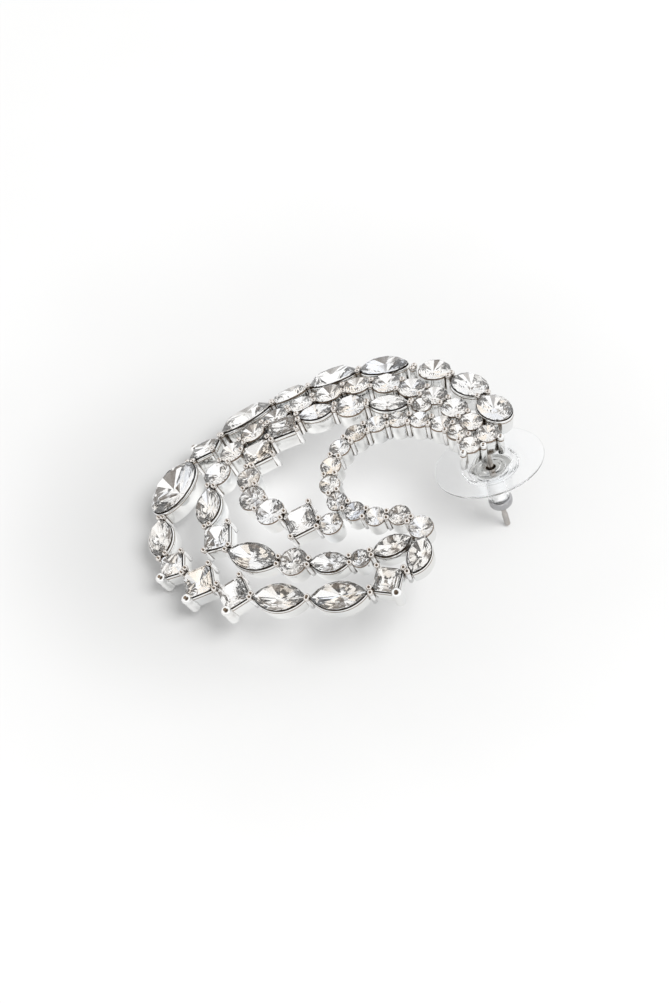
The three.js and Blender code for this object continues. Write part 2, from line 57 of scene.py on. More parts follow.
# Strands: the line in plan, then cut, length, width, turn in degrees and place along the line of each stone
STRANDS = [
    {
        "line": [
            (15.2, -2.2), (14, 1.6), (10, 4.9), (5, 5.6), (1.2, 3), (0, -1.4), (2.4, -5.3), (5.2, -6.9),
            (6.6, -9.4),
        ],
        "stones": [
            ("round", 2.1, 2.1, 0, 0),
            ("round", 2.1, 2.1, 0, 2.35),
            ("round", 2.1, 2.1, 0, 4.7),
            ("round", 2.1, 2.1, 0, 7.1),
            ("round", 2.1, 2.1, 0, 9.5),
            ("round", 2.1, 2.1, 0, 11.9),
            ("round", 2.1, 2.1, 0, 14.3),
            ("round", 2.1, 2.1, 0, 16.75),
            ("round", 2.1, 2.1, 0, 19.2),
            ("round", 2.1, 2.1, 0, 21.6),
            ("round", 2.1, 2.1, 0, 24.1),
            ("round", 2.1, 2.1, 0, 26.6),
            ("round", 2.1, 2.1, 0, 29.05),
            ("round", 2.2, 2.2, 0, 31.65),
            ("round", 2.5, 2.5, 0, 34.5),
        ],
    },
    {
        "line": [
            (12.8, 5.8), (9.6, 8), (2.6, 11.1), (-2, 11.3), (-6.4, 8.6), (-7.8, 4), (-5.4, -0.4),
            (-1.6, -3.9),
        ],
        "stones": [
            ("round", 2, 2, 0, 0),
            ("marquise", 4.5, 2.4, 0, 3.7),
            ("round", 3.1, 3.1, 0, 7.9),
            ("marquise", 4.1, 2.3, 0, 11.8),
            ("square", 3.1, 2.7, -23, 15.75),
            ("square", 3.2, 2.7, -41, 19.8),
            ("round", 2.4, 2.4, 0, 23.25),
            ("round", 2.8, 2.8, 0, 26.1),
            ("round", 3, 3, 0, 29.2),
            ("square", 3.2, 3.2, 40, 33.15),
            ("round", 2.4, 2.4, 0, 36.7),
        ],
    },
    {
        "line": [
            (16.5, 0.9), (14.6, 6.4), (10.4, 11.3), (4.5, 13.4), (-3, 13.5), (-9.4, 10.7),
            (-13, 5.2), (-12, -0.4), (-7, -5.7), (-1, -9.3), (3.1, -9.8),
        ],
        "stones": [
            ("round", 2.4, 2.4, 0, 0),
            ("round", 2.8, 2.8, 0, 2.9),
            ("round", 2.7, 2.7, 0, 6),
            ("round", 2.9, 2.9, 0, 9),
            ("round", 3, 3, 0, 12.1),
            ("round", 2.8, 2.8, 0, 15.4),
            ("round", 3.1, 3.1, 0, 18.6),
            ("round", 2.6, 2.6, 0, 21.8),
            ("round", 2.7, 2.7, 0, 24.9),
            ("round", 2.7, 2.7, 0, 28),
            ("round", 2.7, 2.7, 0, 31.1),
            ("round", 2.9, 2.9, 0, 34.2),
            ("marquise", 4.9, 3, 0, 38.4),
            ("square", 2.9, 2.9, 57, 42.9),
            ("marquise", 6.4, 3.2, 0, 48.4),
            ("round", 3, 3, 0, 53.3),
            ("marquise", 4.4, 2.4, 0, 57.3),
            ("round", 1.9, 1.9, 0, 60.7),
            ("marquise", 4.4, 2.4, 0, 64.2),
        ],
    },
    {
        "line": [
            (19.5, 1.9), (18.5, 6.6), (15.4, 11.4), (9, 16.1), (0.8, 17.9), (-7, 17.2),
            (-15, 12.2), (-19, 4.6), (-15.4, -3.6), (-8.8, -9.4), (-1.2, -13.2), (5.1, -12.2),
        ],
        "stones": [
            ("oval", 4.6, 3.6, 0, 0),
            ("oval", 4.6, 3.6, 0, 4.9),
            ("round", 3.4, 3.4, 0, 9.8),
            ("oval", 5.6, 4, 0, 15.9),
            ("oval", 5.4, 4.8, 0, 21.9),
            ("round", 3.9, 3.9, 0, 27.1),
            ("oval", 6.2, 4.6, 0, 32.6),
            ("square", 3.4, 3, -54, 38.7),
            ("oval", 7.4, 5, 0, 44.7),
            ("marquise", 5, 3, 0, 51.35),
            ("square", 2.6, 2.6, 52, 55.6),
            ("square", 3.2, 3.2, 44, 60),
            ("square", 3, 3, 45, 64.8),
            ("marquise", 6, 3.2, 0, 70.1),
            ("marquise", 6.2, 3.3, 0, 76.7),
            ("square", 2.8, 2.8, -45, 82.1),
            ("marquise", 4.4, 2.6, 40, 86.5),
        ],
    },
]
CLUSTER_PLACE = (17.4, -1.5)
CLUSTER_SIZE = 2.3
CLUSTER_WIRES = [(14.08, -3.05), (16.35, -3.05), (18.4, -2.7)]
LOOSE_OVER = 4.0
CURVE_STEPS = 60
SLOPE_STEP = 1e-4

# Cups
CUP_WALL = 0.12
CUP_DEPTH = 2.0
FOOT_SCALE = 0.93
ROUND_STEPS = 40
SQUARE_SIDES = 8
# Share of its half width that a square loses at a corner
SQUARE_CUT = 0.28
CORNER_SPREAD = 0.035

# Wires
WIRE_RADIUS = 0.27
BALL_RADIUS = 0.34
WIRE_SINK = 0.14
WIRE_ROOM = 0.04
WIRE_REACH = 2.0
WIRE_STEP = 0.04
WIRE_SIDES = 10
NECK_ROW = 3
CORNER_INSET = 0.15
SEARCH_POINTS = 40
LEVEL_ROUNDS = 4

# Solder
SOLDER_DEPTH = 1.55
SOLDER_HALF_WIDTH = 0.42
SOLDER_HALF_HEIGHT = 0.3
SOLDER_WAIST = 0.25
SOLDER_SIDES = 12
SOLDER_ROWS = 7

# Ear post and clutch
POST_PLACE = (16.96, -2.0)
POST_DIRECTION = (-0.116, -0.286, -0.951)
POST_RADIUS = 0.325
POST_LENGTH = 10.0
POST_SIDES = 24
CLUTCH_AT = 1.13


# ---------------------------------------------------------------- the dome and its strands


def turning(degrees, axis):
    """Matrix of a turn about one axis."""
    return np.array(Matrix.Rotation(math.radians(degrees), 3, axis))


LYING = turning(LYING_TURN[0], "X") @ turning(LYING_TURN[1], "Y") @ turning(LYING_TURN[2], "Z")


def placed(points):
    """Points of the plan laid on the floor, in metres: each is turned, then shifted."""
    return (np.asarray(points, float) @ LYING.T + LYING_SHIFT) / 1000


def unit(vectors):
    """Vectors of length one in the same directions."""
    return vectors / np.linalg.norm(vectors, axis=-1, keepdims=True)


def past_bend(xy, towards, start):
    """How far places lie past the line where a bend starts, or zero before it."""
    angle = math.radians(towards)
    return np.maximum(0, xy @ np.array([math.cos(angle), math.sin(angle)]) - start)


def on_dome(xy):
    """Places lifted onto the dome: height falls with the square of the distance from its middle, and with
    the square of the distance past each bend."""
    height = -DOME_ROUNDNESS * ((xy - DOME_CENTRE) ** 2).sum(-1)
    for towards, start, rate in DOME_BENDS:
        height = height - rate * past_bend(xy, towards, start) ** 2
    return np.concatenate([xy, height[..., None]], -1)


def dome_normal(xy):
    """Outward normals of the dome: minus the slope of its height, and one upwards."""
    slope = 2 * DOME_ROUNDNESS * (xy - np.array(DOME_CENTRE))
    for towards, start, rate in DOME_BENDS:
        angle = math.radians(towards)
        push = 2 * rate * past_bend(xy, towards, start)
        slope = slope + push[..., None] * np.array([math.cos(angle), math.sin(angle)])
    return unit(np.concatenate([slope, np.ones(slope.shape[:-1] + (1,))], -1))


def curve_at(line, t):
    """Points of the uniform Catmull-Rom curve through a line: each span mixes its two ends and their
    slopes, a slope being half the step from the point before to the point after."""
    line = np.asarray(line, float)
    spans = len(line) - 1
    span = np.clip(np.floor(t * spans).astype(int), 0, spans - 1)
    s = (t * spans - span)[:, None]
    before, start, end, after = (line[np.clip(span + k, 0, spans)] for k in (-1, 0, 1, 2))
    slope_in, slope_out = (end - before) / 2, (after - start) / 2
    return (
        (2 * start - 2 * end + slope_in + slope_out) * s**3
        + (3 * end - 3 * start - 2 * slope_in - slope_out) * s**2
        + slope_in * s
        + start
    )


def seats_of(strand):
    """Seats of a strand's stones, as arrays: centre, along, across, up and inwards. Each centre lies at its
    distance along the curve on the dome, along is the curve's direction turned about up, and inwards points
    to the hollow side of the strand."""
    line = strand["line"]
    turns = np.radians([row[3] for row in strand["stones"]])[:, None]
    grid = np.linspace(0, 1, CURVE_STEPS * (len(line) - 1) + 1)
    steps = np.diff(on_dome(curve_at(line, grid)), axis=0)
    lengths = np.concatenate([[0], np.cumsum(np.linalg.norm(steps, axis=1))])
    t = np.interp([row[4] for row in strand["stones"]], lengths, grid)
    centre = on_dome(curve_at(line, t))
    ahead = on_dome(curve_at(line, np.minimum(t + SLOPE_STEP, 1)))
    behind = on_dome(curve_at(line, np.maximum(t - SLOPE_STEP, 0)))
    up = dome_normal(centre[:, :2])
    tangent = unit(ahead - behind)
    flat = unit(tangent - up * (tangent * up).sum(-1, keepdims=True))
    along = flat * np.cos(turns) + np.cross(up, flat) * np.sin(turns)
    inwards = unit(np.cross(up, tangent))
    return centre, along, np.cross(up, along), up, inwards


def stones_of(number, strand):
    """A strand's stones as dictionaries, each with its seat and label."""
    centre, along, across, up, inwards = seats_of(strand)
    return [
        {
            "cut": row[0],
            "long": row[1],
            "wide": row[2],
            "centre": centre[i],
            "axes": np.array([along[i], across[i], up[i]]),
            "inwards": inwards[i],
            "label": f"{number}_{i + 1}",
        }
        for i, row in enumerate(strand["stones"])
    ]


strands = [stones_of(number + 1, strand) for number, strand in enumerate(STRANDS)]
cluster_centre = on_dome(np.array(CLUSTER_PLACE))
cluster_up = dome_normal(np.array(CLUSTER_PLACE))
cluster_along = unit(np.array([1.0, 0, 0]) - cluster_up * cluster_up[0])
cluster_stone = {
    "cut": "round",
    "long": CLUSTER_SIZE,
    "wide": CLUSTER_SIZE,
    "centre": cluster_centre,
    "axes": np.array([cluster_along, np.cross(cluster_up, cluster_along), cluster_up]),
    "label": "cluster",
}
all_stones = [stone for strand in strands for stone in strand] + [cluster_stone]


def seated(local, stone):
    """Local points, along, across and up, put on a stone's seat."""
    return np.asarray(local) @ stone["axes"] + stone["centre"]


# ---------------------------------------------------------------- outlines


def marquise_height(x, half_long, half_wide):
    """Half height of a boat shape: the circle through both tips that reaches half its width."""
    radius = (half_long**2 + half_wide**2) / (2 * half_wide)
    return np.sqrt(np.maximum(0, radius**2 - x**2)) - (radius - half_wide)


def outline(stone, angles, margin=0.0):
    """Points round a stone at the given angles. Round and oval are ellipses. A marquise has the ellipse's
    x with the height of two arcs. A square lies where a ray at that angle would meet its cut corners."""
    half_long, half_wide = stone["long"] / 2 + margin, stone["wide"] / 2 + margin
    c, s = np.cos(angles), np.sin(angles)
    if stone["cut"] in ("round", "oval"):
        return np.stack([half_long * c, half_wide * s], -1)
    if stone["cut"] == "marquise":
        height = marquise_height(half_long * c, half_long, half_wide)
        return np.stack([half_long * c, np.sign(np.round(s, 9)) * height], -1)
    slant = half_long + half_wide - SQUARE_CUT * half_wide
    reach = 1 / np.maximum.reduce(
        [np.abs(c) / half_long, np.abs(s) / half_wide, (np.abs(c) + np.abs(s)) / slant]
    )
    return np.stack([reach * c, reach * s], -1)


def square_angles(stone):
    """Angles of a square's eight corners, from just above its long axis round."""
    half_long, half_wide = stone["long"] / 2, stone["wide"] / 2
    cut = SQUARE_CUT * half_wide
    low, high = math.atan2(half_wide - cut, half_long), math.atan2(half_wide, half_long - cut)
    quarter = np.array([low, high, math.pi - high, math.pi - low])
    return np.concatenate([quarter, math.pi + quarter])


def rim_angles(stone):
    """Angles round a cup's wall: even on curves, and on a square close together round each corner."""
    if stone["cut"] != "square":
        return np.linspace(0, 2 * np.pi, ROUND_STEPS, endpoint=False)
    corners = square_angles(stone)
    return np.sort(np.concatenate([corners - CORNER_SPREAD, corners, corners + CORNER_SPREAD]))


# ---------------------------------------------------------------- meshes


def tube_faces(rows, around):
    """Faces of rings stacked along a tube, from its foot up: quads between rings and a cap at each end."""
    first = np.arange(rows - 1)[:, None] * around
    i = np.arange(around)[None]
    j = (i + 1) % around
    quads = np.stack([first + i, first + j, first + around + j, first + around + i], -1)
    foot = np.arange(around)[::-1]
    top = (rows - 1) * around + np.arange(around)
    return quads.reshape(-1, 4).tolist() + [foot.tolist(), top.tolist()]


def repeated(faces, copies, points):
    """The same faces for several copies that each have that many points."""
    return [[corner + copy * points for corner in face] for copy in range(copies) for face in faces]


def make_piece(name, points, faces, materials, body, slots_used=None, sharp=None, tint=None):
    """A mesh piece that rides on a body. slots_used gives each face's material, sharp the angle in degrees
    above which an edge stays crisp (every face is flat without it), and tint a number for each face."""
    mesh = bpy.data.meshes.new(name)
    mesh.from_pydata(placed(points).tolist(), [], faces)
    for material in materials:
        mesh.materials.append(material)
    if slots_used is not None:
        mesh.polygons.foreach_set("material_index", np.asarray(slots_used, np.int32))
    if sharp is not None:
        mesh.polygons.foreach_set("use_smooth", np.ones(len(mesh.polygons), bool))
        mesh.set_sharp_from_angle(angle=math.radians(sharp))
    if tint is not None:
        layer = mesh.attributes.new("facet_tint", "FLOAT", "FACE")
        layer.data.foreach_set("value", np.asarray(tint, np.float32))
    mesh.update()
    piece = bpy.data.objects.new(name, mesh)
    bpy.context.scene.collection.objects.link(piece)
    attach(piece, body)
    return piece


# ---------------------------------------------------------------- materials

MARK_STRETCH = (1.0, 0.35, 1.6)
MARK_HEIGHT = 0.0001
CLOUD_SCALE = 300.0
# Where each tint starts and is full, along the sum of cloud and facet number
COOL_SHARE = (0.45, 0.15)
WARM_SHARE = (0.6, 0.9)
# Reach of a crease in metres, and how open a place is where the painted crease shade starts and where it is
# full
CREASE_REACH = 0.0004
CREASE_OPEN = 0.62
CREASE_CLOSED = 0.25
CREASE_RAYS = 8
# Painted shade: a tarnish-like brown laid in creases where ambient occlusion finds neighbours close
CREASE_SHADE = (0.32, 0.27, 0.22, 1)
METAL = {"Metallic": 1.0}


def add_input(group, label, kind, value):
    """An input socket of a node group, with its first value."""
    group.interface.new_socket(label, in_out="INPUT", socket_type=kind).default_value = value


def computed(tree, operation, *values):
    """The result of arithmetic on other sockets."""
    node = tree.nodes.new("ShaderNodeMath")
    node.operation = operation
    for socket, value in zip(node.inputs, values):
        tree.links.new(value, socket)
    return node.outputs["Value"]


def ranged(tree, value, start, full, low=0.0, high=1.0, interpolation="LINEAR"):
    """How far a value lies from start to full, put between low and high."""
    node = tree.nodes.new("ShaderNodeMapRange")
    node.interpolation_type = interpolation
    for label, number in (("From Min", start), ("From Max", full), ("To Min", low), ("To Max", high)):
        node.inputs[label].default_value = number
    tree.links.new(value, node.inputs["Value"])
    return node.outputs["Result"]


def mixed(tree, factor, first, second):
    """A colour between two others, each of them a socket or a plain colour."""
    node = tree.nodes.new("ShaderNodeMix")
    node.data_type = "RGBA"
    tree.links.new(factor, node.inputs["Factor"])
    for label, colour in (("A", first), ("B", second)):
        if isinstance(colour, tuple):
            node.inputs[label].default_value = colour
        else:
            tree.links.new(colour, node.inputs[label])
    return node.outputs["Result"]


def scuffs_group():
    """Fine scuffs: a noise stretched like polishing marks gives a roughness and a normal."""
    group = bpy.data.node_groups.new("fine_scuffs", "ShaderNodeTree")
    for label, value in (("Base", 0.06), ("Spread", 0.04), ("Depth", 0.02), ("Scale", 900.0)):
        add_input(group, label, "NodeSocketFloat", value)
    group.interface.new_socket("Roughness", in_out="OUTPUT", socket_type="NodeSocketFloat")
    group.interface.new_socket("Normal", in_out="OUTPUT", socket_type="NodeSocketVector")
    nodes, links = group.nodes, group.links
    inputs, outputs = nodes.new("NodeGroupInput"), nodes.new("NodeGroupOutput")
    coordinates = nodes.new("ShaderNodeTexCoord")
    stretch = nodes.new("ShaderNodeMapping")
    stretch.inputs["Scale"].default_value = MARK_STRETCH
    links.new(coordinates.outputs["Object"], stretch.inputs["Vector"])
    marks = nodes.new("ShaderNodeTexNoise")
    marks.inputs["Detail"].default_value = 5.0
    links.new(stretch.outputs["Vector"], marks.inputs["Vector"])
    links.new(inputs.outputs["Scale"], marks.inputs["Scale"])
    spread, base = inputs.outputs["Spread"], inputs.outputs["Base"]
    rough = computed(group, "MULTIPLY_ADD", marks.outputs["Fac"], spread, base)
    links.new(rough, outputs.inputs["Roughness"])
    bump = nodes.new("ShaderNodeBump")
    bump.inputs["Distance"].default_value = MARK_HEIGHT
    links.new(inputs.outputs["Depth"], bump.inputs["Strength"])
    links.new(marks.outputs["Fac"], bump.inputs["Height"])
    links.new(bump.outputs["Normal"], outputs.inputs["Normal"])
    return group


def blush_group():
    """A soft change of colour: a noise and the facet's own number pick a cool, a plain or a warm tint."""
    group = bpy.data.node_groups.new("colour_blush", "ShaderNodeTree")
    add_input(group, "Plain", "NodeSocketColor", (1, 1, 1, 1))
    add_input(group, "Cool", "NodeSocketColor", (0.8, 0.88, 1, 1))
    add_input(group, "Warm", "NodeSocketColor", (1, 0.86, 0.72, 1))
    add_input(group, "Scale", "NodeSocketFloat", CLOUD_SCALE)
    add_input(group, "Facets", "NodeSocketFloat", 1.0)
    group.interface.new_socket("Color", in_out="OUTPUT", socket_type="NodeSocketColor")
    nodes, links = group.nodes, group.links
    inputs, outputs = nodes.new("NodeGroupInput"), nodes.new("NodeGroupOutput")
    coordinates = nodes.new("ShaderNodeTexCoord")
    cloud = nodes.new("ShaderNodeTexNoise")
    links.new(coordinates.outputs["Object"], cloud.inputs["Vector"])
    links.new(inputs.outputs["Scale"], cloud.inputs["Scale"])
    facet = nodes.new("ShaderNodeAttribute")
    facet.attribute_name = "facet_tint"
    facets, noise = inputs.outputs["Facets"], cloud.outputs["Fac"]
    pick = computed(group, "MULTIPLY_ADD", facet.outputs["Fac"], facets, noise)
    colour = inputs.outputs["Plain"]
    for label, share in (("Cool", COOL_SHARE), ("Warm", WARM_SHARE)):
        colour = mixed(group, ranged(group, pick, *share), colour, inputs.outputs[label])
    links.new(colour, outputs.inputs["Color"])
    return group


def crease_shade_group():
    """Painted shade in narrow gaps: a mask from ambient occlusion that rises where a surface is close to its
    neighbours.
    """
    group = bpy.data.node_groups.new("painted_crease_shade", "ShaderNodeTree")
    group.interface.new_socket("Mask", in_out="OUTPUT", socket_type="NodeSocketFloat")
    nodes, links = group.nodes, group.links
    outputs = nodes.new("NodeGroupOutput")
    openness = nodes.new("ShaderNodeAmbientOcclusion")
    openness.samples = CREASE_RAYS
    openness.inputs["Distance"].default_value = CREASE_REACH
    mask = ranged(group, openness.outputs["AO"], CREASE_OPEN, CREASE_CLOSED)
    links.new(mask, outputs.inputs["Mask"])
    return group


SCUFFS = scuffs_group()
BLUSH = blush_group()
CREASE_SHADE_GROUP = crease_shade_group()


def new_material(name, sockets, scuffs, blush, crease_shade=None):
    """A Principled material: plain numbers on its own sockets, with roughness and normal from the scuffs
    and base colour from the blush, each group with this material's values. Crease shade is the colour of
    the painted shade that ambient occlusion lays in creases."""
    material = bpy.data.materials.new(name)
    material.use_nodes = True
    nodes, links = material.node_tree.nodes, material.node_tree.links
    shader = nodes["Principled BSDF"]
    for label, value in sockets.items():
        shader.inputs[label].default_value = value
    wear = nodes.new("ShaderNodeGroup")
    wear.node_tree = SCUFFS
    for label, value in scuffs.items():
        wear.inputs[label].default_value = value
    links.new(wear.outputs["Roughness"], shader.inputs["Roughness"])
    if scuffs.get("Depth", 0) > 0:
        links.new(wear.outputs["Normal"], shader.inputs["Normal"])
    tone = nodes.new("ShaderNodeGroup")
    tone.node_tree = BLUSH
    for label, value in blush.items():
        tone.inputs[label].default_value = value
    colour = tone.outputs["Color"]
    if crease_shade is not None:
        creases = nodes.new("ShaderNodeGroup")
        creases.node_tree = CREASE_SHADE_GROUP
        colour = mixed(material.node_tree, creases.outputs["Mask"], colour, crease_shade)
    links.new(colour, shader.inputs["Base Color"])
    return material


plating = new_material(
    "silver_plating",
    METAL,
    {"Base": 0.05, "Spread": 0.06, "Depth": 0.05, "Scale": 1500.0},
    {
        "Plain": (0.82, 0.82, 0.81, 1), "Cool": (0.78, 0.8, 0.82, 1),
        "Warm": (0.84, 0.81, 0.78, 1), "Facets": 0.0,
    },
    crease_shade=CREASE_SHADE,
)
# Painted light: a lighter copy of the cup plating, so prong wires and the clutch tube look brighter than the
# walls
lightened_wire_metal = new_material(
    "wire_plating_painted_lighter",
    METAL,
    {"Base": 0.14, "Spread": 0.1, "Depth": 0.03, "Scale": 2500.0},
    {
        "Plain": (0.9, 0.895, 0.89, 1), "Cool": (0.86, 0.87, 0.88, 1),
        "Warm": (0.92, 0.89, 0.86, 1), "Facets": 0.0,
    },
    crease_shade=CREASE_SHADE,
)
# Painted shade and reflections: a darker copy of the wire plating for the prong balls, with light and dark
# blotches
shaded_tip_metal = new_material(
    "tip_plating_painted_shade",
    METAL,
    {"Base": 0.04, "Spread": 0.06, "Depth": 0.05, "Scale": 3000.0},
    {
        "Plain": (0.72, 0.69, 0.66, 1), "Cool": (0.5, 0.47, 0.44, 1),
        "Warm": (0.92, 0.9, 0.87, 1), "Scale": 2500.0, "Facets": 0.0,
    },
    crease_shade=CREASE_SHADE,
)
# Painted shade and reflection: dark brown metal for cup rims and grooves, the insides of cups and clutch
# bore, collars under prong balls and the tops of all wire tips
painted_dark_metal = new_material(
    "painted_shade_and_reflection",
    METAL,
    {"Base": 0.35, "Spread": 0.2, "Depth": 0.1, "Scale": 1500.0},
    {
        "Plain": (0.25, 0.19, 0.14, 1), "Cool": (0.16, 0.14, 0.12, 1),
        "Warm": (0.34, 0.26, 0.18, 1), "Facets": 0.0,
    },
)
post_metal = new_material(
    "post_steel",
    METAL,
    {"Base": 0.16, "Spread": 0.12, "Depth": 0.12, "Scale": 1800.0},
    {
        "Plain": (0.5, 0.47, 0.44, 1), "Cool": (0.42, 0.41, 0.4, 1),
        "Warm": (0.6, 0.53, 0.46, 1), "Facets": 0.0,
    },
)
insert_metal = new_material(
    "insert_steel",
    METAL,
    {"Base": 0.08, "Spread": 0.08, "Depth": 0.1, "Scale": 1800.0},
    {
        "Plain": (0.7, 0.7, 0.69, 1), "Cool": (0.58, 0.59, 0.61, 1),
        "Warm": (0.85, 0.84, 0.82, 1), "Scale": 1500.0, "Facets": 0.0,
    },
)
# Painted reflections: a dark steel with large light and dark blotches for the clutch's end cup
end_cup_reflections_metal = new_material(
    "end_cup_steel_painted_reflections",
    METAL,
    {"Base": 0.06, "Spread": 0.08, "Depth": 0.15, "Scale": 1500.0},
    {
        "Plain": (0.42, 0.42, 0.43, 1), "Cool": (0.24, 0.24, 0.26, 1),
        "Warm": (0.85, 0.84, 0.83, 1), "Scale": 1900.0, "Facets": 0.0,
    },
)
crystal_glass = new_material(
    "crystal_glass",
    {"IOR": 1.55, "Transmission Weight": 1.0},
    {"Base": 0.0, "Spread": 0.01, "Depth": 0.0, "Scale": 600.0},
    {"Plain": (1, 1, 1, 1), "Cool": (0.97, 0.985, 1, 1), "Warm": (1, 0.985, 0.96, 1), "Scale": 500.0},
)
crystal_foil = new_material(
    "crystal_foil",
    {"Metallic": 0.84},
    {"Base": 0.02, "Spread": 0.03, "Depth": 0.0, "Scale": 700.0},
    {
        "Plain": (0.97, 0.962, 0.95, 1), "Cool": (0.9, 0.92, 0.96, 1),
        "Warm": (0.98, 0.9, 0.8, 1), "Scale": 400.0,
    },
)
clear_plastic = new_material(
    "clear_plastic",
    {"IOR": 1.13, "Transmission Weight": 0.975},
    {"Base": 0.08, "Spread": 0.08, "Depth": 0.04, "Scale": 400.0},
    {"Plain": (0.98, 0.985, 0.99, 1), "Cool": (0.96, 0.98, 1, 1), "Warm": (1, 0.99, 0.98, 1), "Facets": 0.0},
)

# ---------------------------------------------------------------- crystals

GIRDLE_TOP = 0.16
GIRDLE_FOOT = 0.04
PAVILION_SHARE = 0.3
STEP_PAVILION_SHARE = 0.23
FLOOR_ROOM = 0.2
# How far the lowest point may lie off the middle, as a share of the width
CULET_SHIFT = 0.09
KEEL_SHIFT = 0.16
# Levels of a step cut: the keel, and the step between girdle and table as shares of outline and crown
KEEL_SIZE = 0.12
STEP_SIZE = 0.84
STEP_RISE = 0.6
STEP_LEVELS = 5
# Facet numbers: their greatest size, and a power that leaves most of them small
TINT_SIZE = 0.6
TINT_POWER = 7
SMALL_SEED = 20
STRAND_SEEDS = 100
# Size of the table against the stone, height of the crown against its width, and gap to the cup's wall
CUTS = {
    "round": (0.82, 0.1, -0.07),
    "marquise": (0.76, 0.11, 0.05),
    "oval": (0.68, 0.14, 0.04),
    "square": (0.66, 0.13, 0.05),
}
MAIN_FACETS = 8


def brilliant_points(stone, culet_shift):
    """Points of a brilliant cut: a table ring, the girdle's upper and lower rings with twice as many points,
    and the culet, a little off the middle."""
    n = MAIN_FACETS
    table, crown, inset = CUTS[stone["cut"]]
    whole, fine = 2 * np.pi * np.arange(n) / n, np.pi * np.arange(2 * n) / n
    deep = min(PAVILION_SHARE * stone["wide"], CUP_DEPTH - FLOOR_ROOM)
    rings = [
        (whole, table, 0.0, GIRDLE_TOP + crown * stone["wide"]),
        (fine, 1.0, -inset, GIRDLE_TOP),
        (fine, 1.0, -inset, GIRDLE_FOOT),
        (whole[:1], 0.0, 0.0, -deep),
    ]
    made = [
        np.concatenate([outline(stone, angles, margin) * scale, np.full((len(angles), 1), height)], -1)
        for angles, scale, margin, height in rings
    ]
    made[-1][:, :2] += culet_shift * stone["wide"]
    return np.concatenate(made)


def brilliant_faces():
    """Faces of the brilliant cut, and whether each belongs to the foiled back: table, crown mains, the halves
    between them, girdle and pavilion mains."""
    n = MAIN_FACETS
    k = np.arange(n)
    high, low, culet = n, 3 * n, np.full(n, 5 * n)
    after = (k + 1) % n
    even, odd, even_after = 2 * k, 2 * k + 1, (2 * k + 2) % (2 * n)
    fine = np.arange(2 * n)
    crown = [
        np.stack([k, high + odd, after], -1),
        np.stack([k, high + even, high + odd], -1),
        np.stack([after, high + odd, high + even_after], -1),
        np.stack([high + fine, low + fine, low + (fine + 1) % (2 * n), high + (fine + 1) % (2 * n)], -1),
    ]
    pavilion = np.stack([culet, low + even_after, low + odd, low + even], -1)
    faces = [list(range(n))] + [face for band in crown for face in band.tolist()]
    foiled = [0] * len(faces)
    faces += pavilion.tolist()
    return faces, foiled + [1] * (len(faces) - len(foiled))


def step_points(stone, keel_shift):
    """Points of a step cut: the eight cornered outline at five levels, from the keel up to the table."""
    table, crown, inset = CUTS["square"]
    crown = crown * stone["wide"]
    deep = min(STEP_PAVILION_SHARE * stone["wide"], CUP_DEPTH - FLOOR_ROOM)
    corners = outline(stone, square_angles(stone), -inset)
    levels = [
        (KEEL_SIZE, -deep),
        (1.0, GIRDLE_FOOT),
        (1.0, GIRDLE_TOP),
        (STEP_SIZE, GIRDLE_TOP + STEP_RISE * crown),
        (table, GIRDLE_TOP + crown),
    ]
    made = [
        np.concatenate([corners * scale, np.full((SQUARE_SIDES, 1), height)], -1) for scale, height in levels
    ]
    made[0][:, :2] += keel_shift * stone["wide"]
    return np.concatenate(made)


def step_faces():
    """Faces of the step cut, and whether each belongs to the foiled back."""
    faces = tube_faces(STEP_LEVELS, SQUARE_SIDES)
    return faces, [1] * SQUARE_SIDES + [0] * (STEP_LEVELS - 2) * SQUARE_SIDES + [1, 0]


def crystal_parts(stones, seed):
    """Points, faces, materials and tints of several stones together. Each stone's lowest point is moved by a
    drawn shift, and round ones are turned by a drawn angle."""
    draw = np.random.default_rng(seed)
    points, faces, foiled = [], [], []
    for stone in stones:
        if stone["cut"] == "square":
            local, own, back = step_points(stone, draw.uniform(-KEEL_SHIFT, KEEL_SHIFT, 2)), *step_faces()
        else:
            shift = draw.uniform(-CULET_SHIFT, CULET_SHIFT, 2)
            local, own, back = brilliant_points(stone, shift), *brilliant_faces()
        if stone["cut"] == "round":
            local = local @ turning(draw.uniform(0, 360 / MAIN_FACETS), "Z").T
        start = sum(len(part) for part in points)
        points.append(seated(local, stone))
        faces += [[corner + start for corner in face] for face in own]
        foiled += back
    tints = TINT_SIZE * draw.uniform(-1, 1, len(faces)) ** TINT_POWER
    return np.concatenate(points), faces, foiled, tints


def make_crystals(name, stones, seed):
    """A piece made of one or more crystals."""
    points, faces, foiled, tints = crystal_parts(stones, seed)
    return make_piece(
        name, points, faces, [crystal_glass, crystal_foil], "root", slots_used=foiled, tint=tints
    )


def is_loose(stone):
    """Whether a stone is a solid of its own in the frame."""
    return stone["long"] > LOOSE_OVER


for number, strand in enumerate(strands):
    small = [stone for stone in strand if not is_loose(stone)]
    if number == 0:
        small.append(cluster_stone)
    make_crystals(f"small_crystals_{number + 1}", small, SMALL_SEED + number)
    for index, stone in enumerate(strand):
        if is_loose(stone):
            name = f"{stone['cut']}_crystal_{stone['label']}"
            crystal = make_crystals(name, [stone], STRAND_SEEDS * number + index)
            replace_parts(crystal, f"{stone['cut']}_stone_{stone['label']}")

# ---------------------------------------------------------------- cups

